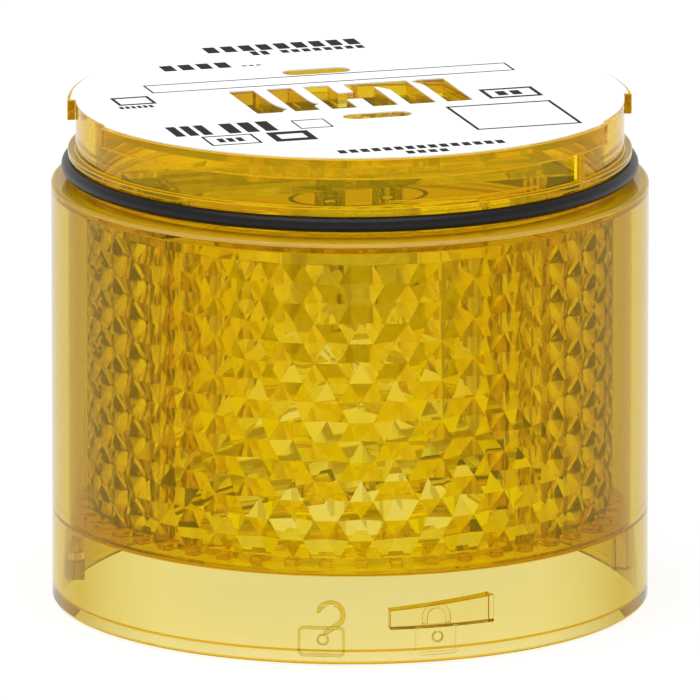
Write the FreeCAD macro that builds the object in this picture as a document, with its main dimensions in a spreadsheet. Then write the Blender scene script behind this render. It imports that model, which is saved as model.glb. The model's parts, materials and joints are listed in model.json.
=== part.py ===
import FreeCAD, Part
import math
import os

import Sketcher
from FreeCAD import Placement, Rotation, Vector

# Lens unit of a modular signal tower: a tinted transparent drum that stacks on its neighbours
# with a twist-lock coupling. +Z is up, the origin is the centre of the skirt's lower rim, -Y is
# the front (the side of the closed padlock). All sizes are in millimetres and degrees.

# ---------------------------------------------------------------- driving dimensions

SIZES = {
    # lens body
    "lens_radius": 35.0, "lens_height": 50.0, "lens_bore": 33.0, "shoulder_round": 0.8,
    "skirt_bore": 33.4, "skirt_depth": 10.4, "rim_chamfer": 0.3, "leadin_width": 0.8,
    "leadin_height": 1.4, "roof_thick": 1.5, "roof_bore": 29.6, "air_gap": 0.05,
    # prismatic sleeve
    "sleeve_outer": 30.6, "sleeve_wall": 1.0, "sleeve_flange": 32.9, "flange_thick": 1.8,
    # coupling lugs in the skirt
    "lug_depth": 1.7, "lug_bottom": 3.8, "lug_low_top": 6.1, "lug_high_top": 7.1,
    "lug_sweep": 21.8, "lug_pitch": 104.5, "lug_azimuth": 2.1, "lug_root": 0.2,
    "stop_azimuth": 54.3, "stop_width": 1.8, "stop_bottom": 5.4, "stop_depth": 1.5,
    # coupling collar
    "groove_radius": 31.95, "groove_top": 53.0, "ring_radius": 33.0, "ring_thick": 0.7,
    "neck_radius": 32.1, "tab_radius": 33.05, "tab_bottom": 57.1, "collar_top": 59.5,
    "deck_thick": 1.6, "collar_bore": 29.8, "notch_sweep": 28.0, "notch_overcut": 1.0,
    # contact slots in the collar
    "slot_pitch": 4.63, "slot_shift": 0.17, "slot_spread": 0.17, "slot_width": 3.1,
    "slot_front": -5.8, "slot_back": 6.7, "bridge_front": -1.25, "bridge_back": 2.4,
    "block_margin": 1.3, "block_bottom": 52.0, "keyhole_width": 2.9, "keyhole_length": 8.3,
    "keyhole_front": -10.4, "keyhole_back": 14.5, "keyhole_shift": 0.2, "keyhole_corner": 0.87,
    # label and seal
    "label_radius": 32.6, "label_thick": 0.18, "seal_radius": 32.85, "seal_section": 0.9,
    "seal_height": 51.8,
    # contact carrier
    "floor_radius": 29.2, "floor_inner": 24.0, "floor_bottom": 10.6, "floor_thick": 1.6,
    "bridge_half": 7.0, "fuse_overlap": 0.2, "pillar_inner": 22.0, "pillar_thick": 3.5, "pillar_half": 6.0,
    "block_low": 48.6, "block_thick": 2.0, "socket_half": 8.6,
    # contact strips
    "strip_thick": 0.6, "strip_half": 1.0, "lane_offset": 4.0, "blade_half": 0.4,
    "blade_reach": 1.1, "blade_tip": 3.6, "leaf_thick": 0.4, "leaf_offset": 1.2,
    "leaf_reach": 2.2, "leaf_top": 57.0, "pad_reach": 4.9, "strip_gap": 0.15,
    # lampholder
    "holder_bore": 7.8, "holder_wall": 0.6, "holder_bottom": 35.4, "window_sweep": 38.0,
    "window_low": 36.1, "window_high": 40.6, "entry_sweep": 18.0, "unlock_turn": 20.0,
    "plate_radius": 7.4, "plate_bottom": 44.4, "plate_thick": 1.2, "stud_radius": 1.2,
    "stud_head": 1.7, "stud_head_thick": 0.4, "contact_offset": 3.5, "stud_proud": 0.4,
    "spring_radius": 1.2, "spring_wire": 0.2, "spring_turns": 5.0, "spring_well": 1.9,
    # lamp
    "lamp_radius": 7.5, "lamp_wall": 0.4, "lamp_mouth": 30.4, "lamp_crown": 43.2,
    "crown_thick": 0.4, "crown_hole": 5.5, "insulator_top": 43.6, "insulator_thick": 2.2,
    "solder_radius": 1.5, "solder_top": 43.95, "pin_radius": 1.0, "pin_end": 8.7,
    "pin_height": 37.3, "dome_radius": 6.9, "dome_wall": 0.8, "dome_centre": 28.4,
    "dome_top": 31.3, "board_bottom": 31.4, "board_thick": 1.0, "board_radius": 6.6,
    "chip_size": 2.0, "chip_thick": 0.75, "chip_ring": 4.0,
}
# azimuths run from the front (-Y) towards +X
NOTCH_AZIMUTHS = (-91.2, 62.8, 167.0)
CONTACT_COUNT = 6
CHIP_COUNT = 6
WIRE_SIDES = 8
SIDES = {"left": -1, "right": 1}


class Size:
    """A number together with the spreadsheet expression that gives it."""

    def __init__(self, value, text):
        self.value = value
        self.text = text

    def joined(self, other, sign, value):
        return Size(value, f"({self.text} {sign} {other.text})")

    def __add__(self, other):
        other = as_size(other)
        return self.joined(other, "+", self.value + other.value)

    def __sub__(self, other):
        other = as_size(other)
        return self.joined(other, "-", self.value - other.value)

    def __mul__(self, other):
        other = as_size(other)
        return self.joined(other, "*", self.value * other.value)

    __radd__ = __add__
    __rmul__ = __mul__

    def __neg__(self):
        return self * -1


def as_size(value):
    return value if isinstance(value, Size) else Size(float(value), f"({value})")


def sized(name):
    return Size(SIZES[name], f"Sizes.{name}")


doc = FreeCAD.newDocument("signal_lens_unit")
sheet = doc.addObject("Spreadsheet::Sheet", "Sizes")
for row, (alias, number) in enumerate(SIZES.items(), start=1):
    sheet.set(f"A{row}", alias)
    sheet.set(f"B{row}", str(number))
    sheet.setAlias(f"B{row}", alias)
doc.recompute()

NODES = []


# ---------------------------------------------------------------- helpers


def bind(thing, prop, size):
    thing.setExpression(prop, as_size(size).text)


def finished(thing, label):
    """Names a sub-part's object after its node and lists it for writing."""
    thing.Label = label
    NODES.append(thing)
    return thing


def new_body(name):
    return doc.addObject("PartDesign::Body", name)


def base_plane(body, role):
    return next(f for f in body.Origin.OriginFeatures if f.Role == role)


def sketch_on(body, name, role, level=None, azimuth=None):
    """A sketch on one of the body's origin planes, raised to a level or turned about +Z."""
    sketch = body.newObject("Sketcher::SketchObject", name)
    sketch.AttachmentSupport = (base_plane(body, role), [""])
    sketch.MapMode = "FlatFace"
    if azimuth is not None:
        turn = Rotation(Vector(0, 1, 0), azimuth - 90)
        sketch.AttachmentOffset = Placement(Vector(), turn)
    if level is not None:
        bind(sketch, "AttachmentOffset.Base.z", level)
    return sketch


def hold_point(sketch, edge, corner, point):
    """Ties one end of an edge to two sizes measured from the origin."""
    for kind, size in zip(("DistanceX", "DistanceY"), point):
        size = as_size(size)
        index = sketch.addConstraint(Sketcher.Constraint(kind, edge, corner, size.value))
        sketch.setExpression(f"Constraints[{index}]", size.text)


def outline(sketch, points):
    """A closed outline of straight edges through points, each a pair of sizes."""
    flat = [Vector(as_size(a).value, as_size(b).value, 0) for a, b in points]
    first = sketch.GeometryCount
    count = len(flat)
    for i in range(count):
        sketch.addGeometry(Part.LineSegment(flat[i], flat[(i + 1) % count]), False)
    for i in range(count):
        after = first + (i + 1) % count
        sketch.addConstraint(Sketcher.Constraint("Coincident", first + i, 2, after, 1))
        hold_point(sketch, first + i, 1, points[i])
    return sketch


def rectangle(sketch, x_low, x_high, y_low, y_high):
    corners = [(x_low, y_low), (x_high, y_low), (x_high, y_high), (x_low, y_high)]
    return outline(sketch, corners)


def circle(sketch, x, y, radius):
    x, y, radius = (as_size(v) for v in (x, y, radius))
    centre = Vector(x.value, y.value, 0)
    edge = sketch.addGeometry(Part.Circle(centre, Vector(0, 0, 1), radius.value), False)
    hold_point(sketch, edge, 3, (x, y))
    index = sketch.addConstraint(Sketcher.Constraint("Radius", edge, radius.value))
    sketch.setExpression(f"Constraints[{index}]", radius.text)
    return sketch


def turned(body, name, points, kind="Revolution", azimuth=None, sweep=None):
    """Turns an outline of (radius, height) points about +Z: all round, or a sweep of it."""
    sketch = outline(sketch_on(body, name + "_profile", "XZ_Plane", azimuth=azimuth), points)
    feature = body.newObject(f"PartDesign::{kind}", name)
    feature.Profile = sketch
    feature.ReferenceAxis = (sketch, ["V_Axis"])
    if sweep is None:
        feature.Angle = 360.0
    else:
        feature.Midplane = True
        bind(feature, "Angle", sweep)
    return feature


def pad(body, sketch, height):
    feature = body.newObject("PartDesign::Pad", sketch.Name + "_pad")
    feature.Profile = sketch
    bind(feature, "Length", height)
    return feature


def pocket_through(body, sketch):
    feature = body.newObject("PartDesign::Pocket", sketch.Name + "_pocket")
    feature.Profile = sketch
    feature.Type = "ThroughAll"
    feature.Midplane = True
    return feature


def box(name, x, y, z):
    """A box between the two limits given for each axis."""
    solid = doc.addObject("Part::Box", name)
    for prop, place, (low, high) in zip(("Length", "Width", "Height"), "xyz", (x, y, z)):
        low, high = as_size(low), as_size(high)
        if low.value > high.value:
            low, high = high, low
        bind(solid, prop, high - low)
        bind(solid, f"Placement.Base.{place}", low)
    return solid


def cylinder(name, radius, z_low, z_high, x=0, y=0):
    solid = doc.addObject("Part::Cylinder", name)
    bind(solid, "Radius", radius)
    bind(solid, "Height", as_size(z_high) - z_low)
    bind(solid, "Placement.Base.x", x)
    bind(solid, "Placement.Base.y", y)
    bind(solid, "Placement.Base.z", z_low)
    return solid


def fused(name, solids):
    joined = doc.addObject("Part::MultiFuse", name)
    joined.Shapes = solids
    return joined


def cut(name, base, tool):
    result = doc.addObject("Part::Cut", name)
    result.Base = base
    result.Tool = tool
    return result


def group(name, solids):
    """Separate solids that share one node."""
    compound = doc.addObject("Part::Compound", name)
    compound.Links = solids
    return compound


def on_circle(radius, azimuth):
    """A place at an azimuth from the front towards +X."""
    angle = math.radians(azimuth - 90)
    return radius * math.cos(angle), radius * math.sin(angle)


def slot_centre(number):
    """X of contact slot 1 to 6; the two middle slots stand slightly further apart."""
    steps = number - (CONTACT_COUNT + 1) / 2
    spread = sized("slot_spread") * middle_side(number)
    return sized("slot_pitch") * steps + sized("slot_shift") + spread


def middle_side(number):
    """-1 or 1 for the two middle slots, 0 for the others."""
    return {CONTACT_COUNT // 2: -1, CONTACT_COUNT // 2 + 1: 1}.get(number, 0)


# ---------------------------------------------------------------- lens body


def coupling_lug(number, azimuth):
    """A ramped wedge that hooks under the neighbour's collar."""
    root = sized("skirt_bore") + sized("lug_root")
    outer = cylinder(f"lug_outer_{number}", root, sized("lug_bottom"), sized("lug_high_top"))
    bind(outer, "Angle", sized("lug_sweep"))
    start = azimuth - 90 - SIZES["lug_sweep"] / 2
    outer.Placement.Rotation = Rotation(Vector(0, 0, 1), start)
    inner = cylinder(
        f"lug_inner_{number}", sized("skirt_bore") - sized("lug_depth"),
        sized("lug_bottom"), sized("lug_high_top"),
    )
    wedge = cut(f"lug_wedge_{number}", outer, inner)
    # the ramp: a block tilted about the radial direction, resting on the lug's two ends
    run = SIZES["skirt_bore"] * math.radians(SIZES["lug_sweep"])
    rise = SIZES["lug_high_top"] - SIZES["lug_low_top"]
    ramp = doc.addObject("Part::Box", f"lug_ramp_{number}")
    bind(ramp, "Length", 2 * sized("skirt_bore"))
    bind(ramp, "Width", 2 * sized("skirt_bore"))
    bind(ramp, "Height", sized("lens_radius"))
    tilt = Rotation(Vector(0, 1, 0), -math.degrees(math.atan2(rise, run)))
    middle = Vector(0, 0, (SIZES["lug_high_top"] + SIZES["lug_low_top"]) / 2)
    back = Vector(-SIZES["skirt_bore"], -2 * SIZES["skirt_bore"], 0)
    turn = Placement(Vector(), Rotation(Vector(0, 0, 1), azimuth))
    ramp.Placement = turn * Placement(middle, tilt) * Placement(back, Rotation())
    return cut(f"lug_{number}", wedge, ramp)


def make_lens_body():
    radius, height, bore = sized("lens_radius"), sized("lens_height"), sized("lens_bore")
    skirt, rim, edge = sized("skirt_bore"), sized("rim_chamfer"), sized("shoulder_round")
    roof = height - sized("roof_thick")
    body = new_body("lens_turned")
    turned(body, "lens_wall", [
        (skirt, sized("leadin_height")), (skirt + sized("leadin_width"), 0), (radius - rim, 0),
        (radius, rim), (radius, height - edge), (radius - edge, height),
        (sized("roof_bore"), height), (sized("roof_bore"), roof), (bore, roof),
        (bore, sized("skirt_depth")), (skirt, sized("skirt_depth")),
    ])
    base = SIZES["lug_azimuth"]
    lugs = [coupling_lug(i + 1, base + i * SIZES["lug_pitch"]) for i in (-1, 0, 1)]
    stop = group("turn_stop", [box(
        "turn_stop_bar", (skirt - sized("stop_depth"), skirt + sized("lug_root")),
        (0, sized("stop_width")), (sized("stop_bottom"), sized("skirt_depth")),
    )])
    stop.Placement.Rotation = Rotation(Vector(0, 0, 1), SIZES["stop_azimuth"] - 90)
    return finished(fused("lens_with_lugs", [body] + lugs + [stop]), "lens_body")


def make_prism_sleeve():
    outer, flange = sized("sleeve_outer"), sized("sleeve_flange")
    inner = outer - sized("sleeve_wall")
    bottom = sized("skirt_depth")
    top = sized("lens_height") - sized("roof_thick") - sized("air_gap")
    body = new_body("prism_tube")
    turned(body, "sleeve_wall_turned", [
        (inner, bottom), (flange, bottom), (flange, bottom + sized("flange_thick")),
        (outer, bottom + sized("flange_thick")), (outer, top), (inner, top),
    ])
    return finished(body, "prism_sleeve")


# ---------------------------------------------------------------- coupling collar and label


def slot_outlines(sketch):
    """The six contact slots, the bridge between the middle two, and the two keyholes."""
    half = sized("slot_width") * 0.5
    front, back = sized("slot_front"), sized("slot_back")
    for number in range(1, CONTACT_COUNT + 1):
        if middle_side(number) == 0:
            centre = slot_centre(number)
            rectangle(sketch, centre - half, centre + half, front, back)
    third, fourth = slot_centre(CONTACT_COUNT // 2), slot_centre(CONTACT_COUNT // 2 + 1)
    near, far = sized("bridge_front"), sized("bridge_back")
    outline(sketch, [
        (third - half, front), (third + half, front), (third + half, near),
        (fourth - half, near), (fourth - half, front), (fourth + half, front),
        (fourth + half, back), (fourth - half, back), (fourth - half, far),
        (third + half, far), (third + half, back), (third - half, back),
    ])
    return sketch


def keyhole_outlines(sketch):
    """Two long holes in the deck, chamfered to eight sides."""
    half_length, half_width = sized("keyhole_length") * 0.5, sized("keyhole_width") * 0.5
    corner = sized("keyhole_corner")
    for name in ("keyhole_front", "keyhole_back"):
        x, y = sized("keyhole_shift"), sized(name)
        outline(sketch, [
            (x - half_length, y - half_width + corner), (x - half_length + corner, y - half_width),
            (x + half_length - corner, y - half_width), (x + half_length, y - half_width + corner),
            (x + half_length, y + half_width - corner), (x + half_length - corner, y + half_width),
            (x - half_length + corner, y + half_width), (x - half_length, y + half_width - corner),
        ])
    return sketch


def cut_notches(body, name, low, high):
    """Cuts the three entry notches back to the neck."""
    neck, far = sized("neck_radius"), sized("tab_radius") + sized("notch_overcut")
    for number, azimuth in enumerate(NOTCH_AZIMUTHS, start=1):
        turned(body, f"{name}_{number}", [
            (neck, low), (far, low), (far, high), (neck, high),
        ], kind="Groove", azimuth=azimuth, sweep=sized("notch_sweep"))


def make_cap_collar():
    bottom = sized("lens_height") + sized("air_gap")
    groove, ring, neck, tab = (
        sized(name) for name in ("groove_radius", "ring_radius", "neck_radius", "tab_radius")
    )
    groove_top, tab_bottom, top = sized("groove_top"), sized("tab_bottom"), sized("collar_top")
    deck, bore = top - sized("deck_thick"), sized("collar_bore")
    ring_top = groove_top + sized("ring_thick")
    body = new_body("collar_turned")
    turned(body, "collar_shell", [
        (0, deck), (bore, deck), (bore, bottom), (groove, bottom), (groove, groove_top),
        (ring, groove_top), (ring, ring_top), (neck, ring_top), (neck, tab_bottom),
        (tab, tab_bottom), (tab, top), (0, top),
    ])
    half, margin = sized("slot_width") * 0.5, sized("block_margin")
    block = sketch_on(body, "contact_block", "XY_Plane", level=sized("block_bottom"))
    rectangle(
        block, slot_centre(1) - half - margin, slot_centre(CONTACT_COUNT) + half + margin,
        sized("slot_front") - margin, sized("slot_back") + margin,
    )
    pad(body, block, deck + sized("fuse_overlap") - sized("block_bottom"))
    cut_notches(body, "entry_notch", tab_bottom, top + sized("notch_overcut"))
    pocket_through(body, slot_outlines(sketch_on(body, "contact_slots", "XY_Plane", level=top)))
    pocket_through(body, keyhole_outlines(sketch_on(body, "keyholes", "XY_Plane", level=top)))
    return finished(body, "cap_collar")


def make_cap_label():
    top = sized("collar_top")
    body = new_body("label_disc")
    pad(body, circle(sketch_on(body, "disc", "XY_Plane", level=top), 0, 0, sized("label_radius")),
        sized("label_thick"))
    cut_notches(body, "label_notch", top - sized("notch_overcut"), top + sized("notch_overcut"))
    pocket_through(body, slot_outlines(sketch_on(body, "label_slots", "XY_Plane", level=top)))
    pocket_through(body, keyhole_outlines(sketch_on(body, "label_holes", "XY_Plane", level=top)))
    return finished(body, "cap_label")


def make_seal():
    ring = doc.addObject("Part::Torus", "seal_ring")
    bind(ring, "Radius1", sized("seal_radius"))
    bind(ring, "Radius2", sized("seal_section"))
    bind(ring, "Placement.Base.z", sized("seal_height"))
    return finished(ring, "o_ring")


# ---------------------------------------------------------------- contact carrier


def make_carrier_base():
    bottom, top = sized("floor_bottom"), sized("floor_bottom") + sized("floor_thick")
    outer, inner, half = sized("floor_radius"), sized("floor_inner"), sized("bridge_half")
    body = new_body("carrier_floor")
    turned(body, "floor_ring", [(inner, bottom), (outer, bottom), (outer, top), (inner, top)])
    bridge = sketch_on(body, "floor_bridge", "XY_Plane", level=bottom)
    reach = inner + sized("fuse_overlap")
    pad(body, rectangle(bridge, -reach, reach, -half, half), sized("floor_thick"))
    slots = sketch_on(body, "blade_slots", "XY_Plane", level=bottom)
    wide, deep = sized("blade_half") + sized("strip_gap"), sized("blade_reach") + sized("strip_gap")
    for number in range(1, CONTACT_COUNT + 1):
        centre = slot_centre(number)
        rectangle(slots, centre - wide, centre + wide, -deep, deep)
    pocket_through(body, slots)
    return finished(body, "carrier_base")


def make_pillar(side, sign):
    inner, half = sized("pillar_inner"), sized("pillar_half")
    outer = inner + sized("pillar_thick")
    base_top = sized("floor_bottom") + sized("floor_thick")
    pillar = box(
        f"pillar_{side}_bar", (inner * sign, outer * sign), (-half, half),
        (base_top, sized("block_low")),
    )
    return finished(pillar, f"pillar_{side}")


def make_socket_block():
    low, thick, half = sized("block_low"), sized("block_thick"), sized("socket_half")
    reach = sized("pillar_inner") + sized("pillar_thick")
    body = new_body("socket_plate")
    plate = sketch_on(body, "plate", "XY_Plane", level=low)
    pad(body, rectangle(plate, -reach, reach, -half, half), thick)
    gates = sketch_on(body, "strip_gates", "XY_Plane", level=low)
    gap, inner = sized("strip_gap"), sized("pillar_inner")
    for sign in SIDES.values():
        near = (inner - sized("strip_thick") - gap) * sign
        far = (inner + gap) * sign
        low_x, high_x = sorted((near, far), key=lambda size: size.value)
        for lane in (-1, 0, 1):
            y = sized("lane_offset") * lane
            wide = sized("strip_half") + gap
            rectangle(gates, low_x, high_x, y - wide, y + wide)
        circle(gates, sized("contact_offset") * sign, 0, sized("spring_well"))
    pocket_through(body, gates)
    return finished(body, "socket_block")


def make_contact_strip(number):
    """One bent strip: fork clip in the slot, run along the block, riser, foot run, blade."""
    side = -1 if number <= CONTACT_COUNT // 2 else 1
    from_edge = number if side < 0 else CONTACT_COUNT + 1 - number
    lane = {1: 0, 2: side, 3: -side}[from_edge]
    x, y = slot_centre(number), sized("lane_offset") * lane
    thick, half = sized("strip_thick"), sized("strip_half")
    top = sized("block_low") + sized("block_thick")
    foot = sized("floor_bottom") + sized("floor_thick")
    wall = sized("pillar_inner") * side
    offset, leaf, reach = sized("leaf_offset"), sized("leaf_thick"), sized("leaf_reach")
    near = -reach if lane >= 0 else y - half
    far = reach if lane <= 0 else y + half
    name = f"strip_{number}"
    across, upper, lower = (y - half, y + half), (top, top + thick), (foot, foot + thick)
    pieces = [
        box(name + "_base", (x - offset, x + offset), (near, far), upper),
        box(name + "_run", (x, wall), across, upper),
        box(name + "_riser", (wall, wall - thick * side), across, (foot, top + thick)),
        box(name + "_foot", (x, wall), across, lower),
    ]
    for leaf_name, sign in SIDES.items():
        inner, outer = x + (offset - leaf) * sign, x + offset * sign
        upright = (top, sized("leaf_top"))
        pieces.append(box(f"{name}_leaf_{leaf_name}", (inner, outer), (-reach, reach), upright))
    blade, deep = sized("blade_half"), sized("blade_reach")
    hanging = (sized("blade_tip"), foot + thick)
    pieces.append(box(name + "_blade", (x - blade, x + blade), (-deep, deep), hanging))
    if lane:
        jog = (-deep, y + half) if lane > 0 else (y - half, deep)
        pieces.append(box(name + "_jog", (x - half, x + half), jog, lower))
    if from_edge == CONTACT_COUNT // 2:
        pad_end = sized("pad_reach") * side
        pieces.append(box(name + "_pad", (x, pad_end), (-half, half), upper))
    return finished(fused(name, pieces), f"contact_strip_{number}")


# ---------------------------------------------------------------- lampholder


def make_lampholder():
    bore, wall = sized("holder_bore"), sized("holder_wall")
    bottom, top = sized("holder_bottom"), sized("block_low")
    low, high = sized("window_low"), sized("window_high")
    body = new_body("holder_tube")
    turned(body, "holder_wall_turned", [
        (bore, bottom), (bore + wall, bottom), (bore + wall, top), (bore, top),
    ])
    middle = -SIZES["unlock_turn"] / 2
    inner, outer = bore - wall, bore + wall * 2
    for name, azimuth in (("front", 0), ("back", 180)):
        turned(body, f"pin_window_{name}", [
            (inner, low), (outer, low), (outer, high), (inner, high),
        ], kind="Groove", azimuth=azimuth + middle, sweep=sized("window_sweep"))
        turned(body, f"pin_entry_{name}", [
            (inner, bottom - wall), (outer, bottom - wall),
            (outer, low + wall), (inner, low + wall),
        ], kind="Groove", azimuth=azimuth + 2 * middle, sweep=sized("entry_sweep"))
    return finished(body, "lampholder_shell")


def make_contact_plate():
    bottom, thick = sized("plate_bottom"), sized("plate_thick")
    plate = cylinder("plate_disc", sized("plate_radius"), bottom, bottom + thick)
    holes, studs, springs = [], [], {}
    for side, sign in SIDES.items():
        x = sized("contact_offset") * sign
        low = bottom - sized("stud_proud")
        head_top = bottom + thick + sized("stud_head_thick")
        holes.append(cylinder(f"stud_hole_{side}", sized("stud_radius"), bottom, bottom + thick, x))
        shank = cylinder(f"stud_shank_{side}", sized("stud_radius"), low, head_top, x)
        head = cylinder(f"stud_head_{side}", sized("stud_head"), bottom + thick, head_top, x)
        studs.append(fused(f"stud_{side}", [shank, head]))
        springs[side] = (x, head_top)
    finished(cut("drilled_plate", plate, group("stud_holes", holes)), "contact_plate")
    finished(group("both_studs", studs), "contact_studs")
    for side, (x, low) in springs.items():
        make_contact_spring(side, x, low)


def make_contact_spring(side, x, low):
    """A coil from the stud's head up to the strip that feeds it."""
    wire = sized("spring_wire")
    length = sized("block_low") + sized("block_thick") - low - 2 * wire
    coil = doc.addObject("Part::Helix", f"spring_{side}_path")
    bind(coil, "Radius", sized("spring_radius"))
    bind(coil, "Height", length)
    coil.setExpression("Pitch", f"{length.text} / Sizes.spring_turns")
    section = doc.addObject("Part::RegularPolygon", f"spring_{side}_section")
    section.Polygon = WIRE_SIDES
    bind(section, "Circumradius", wire)
    bind(section, "Placement.Base.x", sized("spring_radius"))
    section.Placement.Rotation = Rotation(Vector(1, 0, 0), 90)
    spring = doc.addObject("Part::Sweep", f"spring_{side}_coil")
    spring.Sections = [section]
    spring.Spine = (coil, ["Edge1"])
    spring.Solid = True
    spring.Frenet = True
    bind(spring, "Placement.Base.x", x)
    bind(spring, "Placement.Base.z", low + wire)
    return finished(spring, f"contact_spring_{side}")


# ---------------------------------------------------------------- lamp


def make_lamp():
    radius, wall = sized("lamp_radius"), sized("lamp_wall")
    mouth, crown, hole = sized("lamp_mouth"), sized("lamp_crown"), sized("crown_hole")
    ceiling = crown - sized("crown_thick")
    cap = new_body("lamp_cap_turned")
    turned(cap, "lamp_cap_shell", [
        (radius - wall, mouth), (radius, mouth), (radius, crown), (hole, crown),
        (hole, ceiling), (radius - wall, ceiling),
    ])
    finished(cap, "lamp_cap")

    disc = new_body("lamp_insulator_turned")
    boss, seat = hole - sized("air_gap"), radius - wall - sized("air_gap")
    face = sized("insulator_top")
    base = face - sized("insulator_thick")
    turned(disc, "insulator_shape", [
        (0, base), (seat, base), (seat, ceiling), (boss, ceiling), (boss, face), (0, face),
    ])
    finished(disc, "lamp_insulator")

    pads, pins = [], []
    for side, sign in SIDES.items():
        x = sized("contact_offset") * sign
        pads.append(cylinder(
            f"solder_{side}", sized("solder_radius"), face, sized("solder_top"), x,
        ))
        pin = doc.addObject("Part::Cylinder", f"pin_{side}")
        bind(pin, "Radius", sized("pin_radius"))
        bind(pin, "Height", sized("pin_end") - radius + wall)
        pin.Placement.Rotation = Rotation(Vector(1, 0, 0), -90 * sign)
        bind(pin, "Placement.Base.y", (radius - wall) * sign)
        bind(pin, "Placement.Base.z", sized("pin_height"))
        pins.append(pin)
    finished(group("both_pads", pads), "lamp_pads")
    finished(group("both_pins", pins), "lamp_pins")

    dome_radius, skin = sized("dome_radius"), sized("dome_wall")
    centre, top = sized("dome_centre"), sized("dome_top")
    ball = doc.addObject("Part::Sphere", "dome_ball")
    bind(ball, "Radius", dome_radius)
    bind(ball, "Placement.Base.z", centre)
    hollow = doc.addObject("Part::Sphere", "dome_hollow")
    bind(hollow, "Radius", dome_radius - skin)
    bind(hollow, "Placement.Base.z", centre)
    beyond = top + dome_radius
    tube = cylinder("dome_tube", dome_radius, centre, beyond)
    bore = cylinder("dome_bore", dome_radius - skin, centre, beyond + skin)
    outside = fused("dome_outside", [ball, tube])
    inside = fused("dome_inside", [hollow, bore])
    above = cylinder("dome_above", dome_radius + skin, top, beyond + skin)
    shell = cut("dome_shell", outside, inside)
    finished(cut("dome_cut", shell, above), "lamp_dome")

    bottom = sized("board_bottom")
    board = cylinder("board_disc", sized("board_radius"), bottom, bottom + sized("board_thick"))
    finished(board, "lamp_board")
    places = [(0.0, 0.0)]
    places += [on_circle(SIZES["chip_ring"], i * 360 / CHIP_COUNT) for i in range(CHIP_COUNT)]
    half = sized("chip_size") * 0.5
    chips = []
    for i, place in enumerate(places):
        x, y = (as_size(round(value, 3)) for value in place)
        height = (bottom - sized("chip_thick"), bottom)
        chips.append(box(f"chip_{i}", (x - half, x + half), (y - half, y + half), height))
    finished(group("all_chips", chips), "lamp_chips")


# ---------------------------------------------------------------- build and write

make_lens_body()
make_prism_sleeve()
make_cap_collar()
make_cap_label()
make_seal()
make_carrier_base()
for side_name, side_sign in SIDES.items():
    make_pillar(side_name, side_sign)
make_socket_block()
for strip_number in range(1, CONTACT_COUNT + 1):
    make_contact_strip(strip_number)
make_lampholder()
make_contact_plate()
make_lamp()
doc.recompute()

faults = [o.Label for o in doc.Objects if "Invalid" in o.State or "Error" in o.State]
for node in NODES:
    if node.Shape.isNull() or not node.Shape.isValid() or not node.Shape.Solids:
        faults.append(node.Label)
if faults:
    raise RuntimeError("these objects failed: " + ", ".join(faults))

os.makedirs("parts", exist_ok=True)
for node in NODES:
    node.Shape.exportStep(f"parts/{node.Label}.step")
    size = node.Shape.BoundBox
    print(f"{node.Label:20s} {len(node.Shape.Solids)} solids {node.Shape.Volume:9.1f} mm3 "
          f"z {size.ZMin:6.2f} to {size.ZMax:6.2f}")
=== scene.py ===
# %% [markdown]
# # A signal tower's lens unit
# One storey of a stack light: a drum of transparent yellow plastic, a prismatic sleeve inside it
# that scatters the lamp's light, a twist-lock collar on top, and a contact carrier with a small
# bayonet lamp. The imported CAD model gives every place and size, so it is loaded first.

# %% Load the frame
import json
import math

import bmesh
import bpy
from mathutils import Matrix, Vector


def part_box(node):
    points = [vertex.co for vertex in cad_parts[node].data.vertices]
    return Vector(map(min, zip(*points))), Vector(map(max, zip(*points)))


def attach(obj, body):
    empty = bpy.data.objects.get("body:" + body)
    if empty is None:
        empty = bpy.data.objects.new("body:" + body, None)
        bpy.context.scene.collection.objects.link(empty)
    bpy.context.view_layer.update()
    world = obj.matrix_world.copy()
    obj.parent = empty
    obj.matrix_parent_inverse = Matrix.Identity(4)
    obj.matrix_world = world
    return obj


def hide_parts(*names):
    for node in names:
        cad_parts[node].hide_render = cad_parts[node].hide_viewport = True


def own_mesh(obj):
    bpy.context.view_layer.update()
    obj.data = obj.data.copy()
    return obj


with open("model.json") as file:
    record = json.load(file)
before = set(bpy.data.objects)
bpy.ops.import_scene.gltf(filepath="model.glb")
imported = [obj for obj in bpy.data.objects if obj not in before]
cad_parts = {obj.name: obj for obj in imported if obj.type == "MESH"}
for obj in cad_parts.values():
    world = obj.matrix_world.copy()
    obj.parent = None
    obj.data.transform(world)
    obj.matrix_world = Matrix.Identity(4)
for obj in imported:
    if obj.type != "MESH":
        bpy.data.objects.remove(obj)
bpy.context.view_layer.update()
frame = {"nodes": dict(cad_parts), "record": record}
MM = 0.001

# %% [markdown]
# ## Sizes
# Every drum-shaped piece is turned about the tower's axis, so a radius and two heights place it.
# They are read from the CAD boxes in millimetres, which keeps the pieces where the joints expect
# them. Azimuths are measured from the front, the side of the closed padlock, towards +X.

# %% Read the sizes from the frame


def reach(node):
    """(outer radius, lowest, highest) of a CAD node, in millimetres."""
    low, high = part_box(node)
    return round(high[0] / MM, 1), low[2] / MM, high[2] / MM


LENS_R, RIM_Z, SHOULDER_Z = reach("lens_body")
SLEEVE_FLANGE_R, RECESS_Z, SLEEVE_TOP_Z = reach("prism_sleeve")
COLLAR_Z, DECK_Z = (reach("cap_collar")[i] for i in (1, 2))
LABEL_R, LABEL_Z, LABEL_TOP_Z = reach("cap_label")
TAB_R = 33.05
STEPS = 192
print(f"lens radius {LENS_R}, shoulder {SHOULDER_Z:.2f}, deck {DECK_Z:.2f} mm")

# %% [markdown]
# ## Helpers for turned and flat pieces
# A turned piece starts as the outline of its wall, radius against height, and is spun about the
# axis. Moulded edges are never knife sharp, so a narrow bevel follows where two faces meet at an
# angle. A flat piece with holes starts as a filled curve, which fills between nested outlines.

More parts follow.
